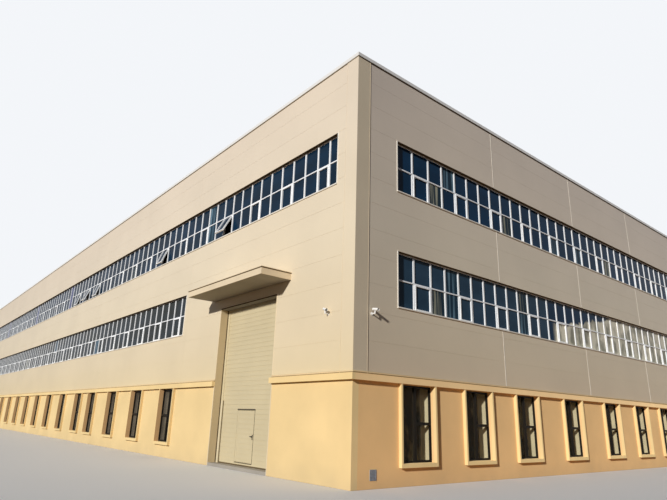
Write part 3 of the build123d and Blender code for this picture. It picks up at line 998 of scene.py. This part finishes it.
def make_grille():
    """A small louvre: a flat rim, slanted blades and a back."""
    low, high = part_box("vent_grille")
    rim = 0.012
    blades = 7
    blade_chord = 0.014
    blade_thickness = 0.003
    slant = Matrix.Rotation(math.radians(38), 4, "Y")
    across = (low.x, high.x)
    along = (low.y + rim, high.y - rim)
    inside = (low.z + rim, high.z - rim)
    louvre = bmesh.new()
    add_box(louvre, across, (low.y, high.y), (low.z, inside[0]), BEVEL)
    add_box(louvre, across, (low.y, high.y), (inside[1], high.z), BEVEL)
    add_box(louvre, across, (low.y, along[0]), inside, BEVEL)
    add_box(louvre, across, (along[1], high.y), inside, BEVEL)
    step = (high.z - low.z - 2 * rim) / blades
    size = Matrix.Diagonal((blade_chord, high.y - low.y - 2 * rim, blade_thickness, 1))
    for number in range(blades):
        middle = Vector(((low.x + high.x) / 2, (low.y + high.y) / 2, low.z + rim + step * (number + 0.5)))
        bmesh.ops.create_cube(louvre, size=1, matrix=Matrix.Translation(middle) @ slant @ size)
    add_box(louvre, (low.x, low.x + HAIR), along, inside)
    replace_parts(make_piece("vent_louvre", louvre, louvre_blue), "vent_grille")


# Tall door and its doorway


def slat_lines(low, high):
    """Bottoms and tops of the ribs that fill a height, all on one grid."""
    lines = []
    number = math.floor(low / SLAT)
    while number * SLAT < high:
        bottom = max(low + SLAT_GAP / 2, number * SLAT + SLAT_GAP / 2)
        top = min(high - SLAT_GAP / 2, (number + 1) * SLAT - SLAT_GAP / 2)
        if top - bottom > LEAST_SLAT:
            lines.append((bottom, top))
        number += 1
    return lines


def make_ribs(node, sides, body, stile=None):
    """Shallow ribs across one leaf of the tall door, with a plain stile where asked."""
    inset = 0.004
    low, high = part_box(node)
    proud = (CURTAIN_LOW.y - SLAT_PROUD, CURTAIN_LOW.y)
    ribs = bmesh.new()
    for slat in slat_lines(low.z, high.z):
        add_box(ribs, sides, proud, slat, SOFT_BEVEL)
    if stile:
        add_box(ribs, stile, proud, (low.z + inset, high.z - inset))
    make_piece(f"{node}_ribs", ribs, door_paint, body)


def make_door_ribs():
    """The ribs of the tall door's fixed leaves, and those of the wicket door beside its hinges."""
    for leaf in ("door_leaf_left", "door_leaf_right", "door_leaf_top"):
        low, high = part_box(leaf)
        make_ribs(leaf, (low.x, high.x), "building")
    jamb = WICKET_LEFT + WICKET_GAP
    stile = (jamb + 0.002, jamb + 0.050)
    sides = (jamb + 0.052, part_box("wicket_door")[1].x - 0.012)
    make_ribs("wicket_door", sides, "wicket", stile)


def make_wicket_trim():
    """A dark header bar over the wicket door, and dark strips of painted shade in the gaps beside and under
    it.
    """
    front = CURTAIN_LOW.y
    head = CURTAIN_LOW.z
    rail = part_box("door_bottom_rail")[1].z
    over = ((WICKET_LEFT - 0.008, WICKET_RIGHT + 0.014), (front - 0.011, front), (head, head + 0.026))
    beside = ((WICKET_RIGHT, WICKET_RIGHT + 0.010), (front - 0.007, front), (rail, head))
    under = ((WICKET_LEFT + 0.001, WICKET_RIGHT), (front - 0.009, front), (rail - 0.012, rail - 0.001))
    make_boxes("wicket_header_and_gap_shades", header_and_gap_shade_brown, (over, beside, under), BEVEL)


def make_guard_bar():
    """The brown bar that stands at the left edge of the tall door."""
    near = CURTAIN_LOW.x + 0.092
    front = CURTAIN_LOW.y
    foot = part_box("door_guides")[0].z
    guard = ((near, near + 0.022), (front - 0.024, front - 0.006), (foot, GUARD_TOP))
    make_boxes("door_guard_bar", guard_brown, [guard], SOFT_BEVEL)


def at_both_sides(near, far):
    """Two stretches along the front wall, equally far in from the doorway's two sides."""
    return (DOORWAY[0] + near, DOORWAY[0] + far), (DOORWAY[1] - far, DOORWAY[1] - near)


def make_doorway_lining():
    """Folded sheets on the doorway's sides and head, the head's sheet darker as painted shade."""
    depth = (0.0, GUIDE_DEPTH)
    sides = [("front", side, depth, LINED_HEIGHT) for side in at_both_sides(0.0, LINING)]
    make_strips("doorway_lining", lining_paint, sides)
    head = ("front", DOORWAY, depth, (DOOR_HEAD - LINING, DOOR_HEAD))
    make_strips("doorway_head_lining", head_shade_paint, [head])


def make_guide_covers():
    """Covers on the door's guides, with their paler lower part."""
    half = 0.006
    cover_edge = 0.098
    depth = (GUIDE_DEPTH - half, GUIDE_DEPTH + half)
    foot, head = LINED_HEIGHT
    sides = at_both_sides(EDGE_SHADOW, cover_edge)
    covers = [("front", side, depth, (GUARD_TOP, head)) for side in sides]
    guards = [("front", side, depth, (foot, GUARD_TOP)) for side in sides]
    make_strips("door_guide_covers", door_paint, covers, FINE_BEVEL)
    make_strips("door_guide_guards", door_trim, guards, FINE_BEVEL)


def make_dark_edge_strips():
    """Painted shadow beside the guides' covers, as dark strips, one standing out next to the lining, and a
    dark strip along the door's foot.
    """
    standing_strip_edge = 2 * LINING
    dark_strips = bmesh.new()
    for near, far, proud in ((standing_strip_edge, EDGE_SHADOW, 0.004), (LINING, standing_strip_edge, 0.022)):
        for side in at_both_sides(near, far):
            add_on(dark_strips, "front", side, (GUIDE_DEPTH - proud, GUIDE_DEPTH), LINED_HEIGHT)
    low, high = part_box("door_bottom_rail")
    add_box(dark_strips, (low.x, high.x), (low.y - 0.006, low.y), (low.z, low.z + 0.026), BEVEL)
    make_piece("door_edge_dark_strips", dark_strips, dark_strip_paint)


def make_doorway_trims():
    """Edge trims beside the doorway, above and below the string course, and a strip of painted shade along
    the wall's edge over it.
    """
    rim = 0.020
    trims = []
    for side in at_both_sides(-rim, HAIR):
        trims.append(("front", side, (-SKIN - STRIP_PROUD, 0.0), (FLASHING_TOP, DOOR_HEAD)))
        trims.append(("front", side, (-0.006, 0.0), (0.0, BAND_FOOT)))
    make_strips("doorway_edge_trims", doorway_trim, trims, FINE_BEVEL)
    # A dark strip of painted shade along the wall's edge over the doorway.
    drip = ("front", DOORWAY, (-SKIN - 0.003, 0.0), (DOOR_HEAD - HAIR, DOOR_HEAD + 0.022))
    make_strips("doorway_head_shade", shade_brown, [drip], FINE_BEVEL)


def make_canopy_trim():
    """A thin capping on the canopy, painted shadow under its lip, and a grey-brown soffit, darker than the
    canopy partly as painted shade.
    """
    low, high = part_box("canopy")
    wall = high.y - SKIN
    cap_lip = 0.014
    gap_lip = 0.007
    inset = 0.012
    cap = (high.z - 0.012, high.z + 0.002)
    gap = (high.z - 0.026, cap[0])
    capping = ((low.x - cap_lip, high.x + cap_lip), (low.y - cap_lip, wall), cap)
    make_boxes("canopy_capping", canopy_render, [capping], BEVEL)
    # Painted shadow under the capping's lip.
    gap_shades = (
        ((low.x - gap_lip, high.x + gap_lip), (low.y - gap_lip, low.y), gap),
        ((low.x - gap_lip, low.x), (low.y, wall), gap),
        ((high.x, high.x + gap_lip), (low.y, wall), gap),
    )
    make_boxes("canopy_gap_shadow", shade_brown, gap_shades)
    soffit = ((low.x + inset, high.x - inset), (low.y + inset, wall), (low.z - 0.002, low.z))
    make_boxes("canopy_soffit", soffit_concrete_and_shade, [soffit])


# Wall cameras


def add_rod(bm, start, end, radius, end_radius, caps=True):
    """A round rod between two points, open at its ends if it is a tube."""
    span = end - start
    turn = span.to_track_quat("Z", "Y").to_matrix().to_4x4()
    matrix = Matrix.Translation((start + end) / 2) @ turn
    rod = {"radius1": radius, "radius2": end_radius, "depth": span.length}
    bmesh.ops.create_cone(bm, cap_ends=caps, segments=28, matrix=matrix, **rod)


def make_camera(face, out, aim):
    """A wall plate, a bent arm and a round housing under a sunshade, with a dark window."""
    node = f"{face}_wall_camera"
    low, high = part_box(node)
    foot = (low + high) / 2
    if face == "front":
        foot.y = high.y
    else:
        foot.x = low.x
    up = Vector((0, 0, 1))
    plate = foot - up * 0.052
    elbow = plate + out * 0.075 - up * 0.008
    middle = foot + out * 0.086 + up * 0.012
    shade = middle + up * 0.004
    aim.normalize()
    nose = middle + aim * 0.058
    housing = bmesh.new()
    add_rod(housing, plate, plate + out * 0.012, 0.030, 0.026)
    add_rod(housing, plate, plate + out * 0.078, 0.011, 0.011)
    add_rod(housing, elbow, middle, 0.013, 0.011)
    add_rod(housing, middle - aim * 0.060, nose, 0.018, 0.019)
    add_rod(housing, shade - aim * 0.052, shade + aim * 0.070, 0.022, 0.024, caps=False)
    window = bmesh.new()
    add_rod(window, nose, middle + aim * 0.061, 0.015, 0.014)
    piece = make_piece(f"{face}_camera_housing", housing, camera_white)
    make_piece(f"{face}_camera_window", window, lens_black)
    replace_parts(piece, node)


# Scene


def make_floor():
    """A pale floor. What it throws back is dim and brown, and warmer beside the right wall."""
    half = 400
    below = 0.002
    finish = Finish("pale_floor")
    shown = finish.blend(finish.noise(0.05), (0.88, 0.87, 0.85), (0.91, 0.90, 0.88))
    out = finish.axis("X")
    reach = finish.carry(out, (HALF_LENGTH + 1.0, HALF_LENGTH + 4.0), (1.0, 0.0), smooth=True)
    beside = finish.carry(out, (HALF_LENGTH - 0.5, HALF_LENGTH + 0.5), smooth=True)
    warm = finish.join("MULTIPLY", reach, beside)
    bounce = finish.blend(warm, (0.11, 0.075, 0.048), (0.58, 0.36, 0.18), 0.0, 1.0)
    material = finish.end(finish.mix(finish.seen_rays(), bounce, shown), 0.95, 0.1)
    bm = bmesh.new()
    bmesh.ops.create_grid(bm, x_segments=1, y_segments=1, size=half)
    bmesh.ops.translate(bm, vec=(0, 0, -below), verts=bm.verts[:])
    add_mesh("floor", bm, [material])


def make_lights():
    """A low key light from the front right and a weak soft one from behind."""
    lamps = (
        ("soft_key", (0.343, -0.880, 0.320), 3.25, 2.5, (1.0, 0.985, 0.96)),
        ("soft_back", (-0.55, 0.72, 0.42), 1.5, 25.0, (1.0, 0.98, 0.96)),
    )
    for name, towards, energy, degrees, colour in lamps:
        lamp = bpy.data.lights.new(name, "SUN")
        lamp.energy = energy
        lamp.angle = math.radians(degrees)
        lamp.color = colour
        light = add_object(name, lamp)
        light.rotation_euler = Vector(towards).to_track_quat("Z", "Y").to_euler()


def make_surroundings():
    """A dim bluish fill from all sides, with a pale backdrop where it is seen."""
    world = bpy.data.worlds.new("pale_studio")
    bpy.context.scene.world = world
    world.use_nodes = True
    tree = NodeTree(world.node_tree)
    fill = tree.nodes["Background"]
    fill.inputs["Color"].default_value = (0.58, 0.80, 1.20, 1)
    fill.inputs["Strength"].default_value = 0.088
    shown = tree.add("Background", {"Color": (0.90, 0.92, 0.95, 1), "Strength": 1.0})
    mix = tree.nodes.new("ShaderNodeMixShader")
    tree.links.new(tree.seen_rays(), mix.inputs["Fac"])
    tree.links.new(fill.outputs["Background"], mix.inputs[1])
    tree.links.new(shown.outputs["Background"], mix.inputs[2])
    tree.links.new(mix.outputs["Shader"], tree.nodes["World Output"].inputs["Surface"])


def make_camera_view():
    """The photograph's viewpoint: low, off the corner, looking up and slightly rolled."""
    azimuth = math.radians(50.5547)
    elevation = math.radians(17.5529)
    roll = math.radians(1.827)
    position = Vector((HALF_LENGTH + 6.42394, -13.68214, 1.00486))
    level = math.cos(elevation)
    ahead = Vector((-math.sin(azimuth) * level, math.cos(azimuth) * level, math.sin(elevation)))
    data = bpy.data.cameras.new("view")
    data.sensor_fit = "HORIZONTAL"
    data.sensor_width = 36.0
    data.lens = 28.86
    data.clip_end = 500.0
    camera = add_object("view", data)
    turn = ahead.to_track_quat("-Z", "Y").to_matrix().to_4x4()
    camera.matrix_world = Matrix.Translation(position) @ turn @ Matrix.Rotation(roll, 4, "Z")
    bpy.context.scene.camera = camera


dress_nodes()
make_ribbons()
make_ribbon_trims()
for wall in FACES:
    make_cladding(wall)
make_corner_trims()
make_seam_covers()
make_base_flashings()
make_coping_gaps()
make_ground_windows()
make_dim_rooms()
make_reveal_linings()
make_grille()
make_door_ribs()
make_wicket_trim()
make_guard_bar()
make_doorway_lining()
make_guide_covers()
make_dark_edge_strips()
make_doorway_trims()
make_canopy_trim()
make_camera("front", Vector((0, -1, 0)), Vector((0.92, -0.22, -0.30)))
make_camera("right", Vector((1, 0, 0)), Vector((0.95, 0.05, -0.16)))
make_floor()
make_lights()
make_surroundings()
make_camera_view()
bpy.context.scene.view_settings.view_transform = "Standard"
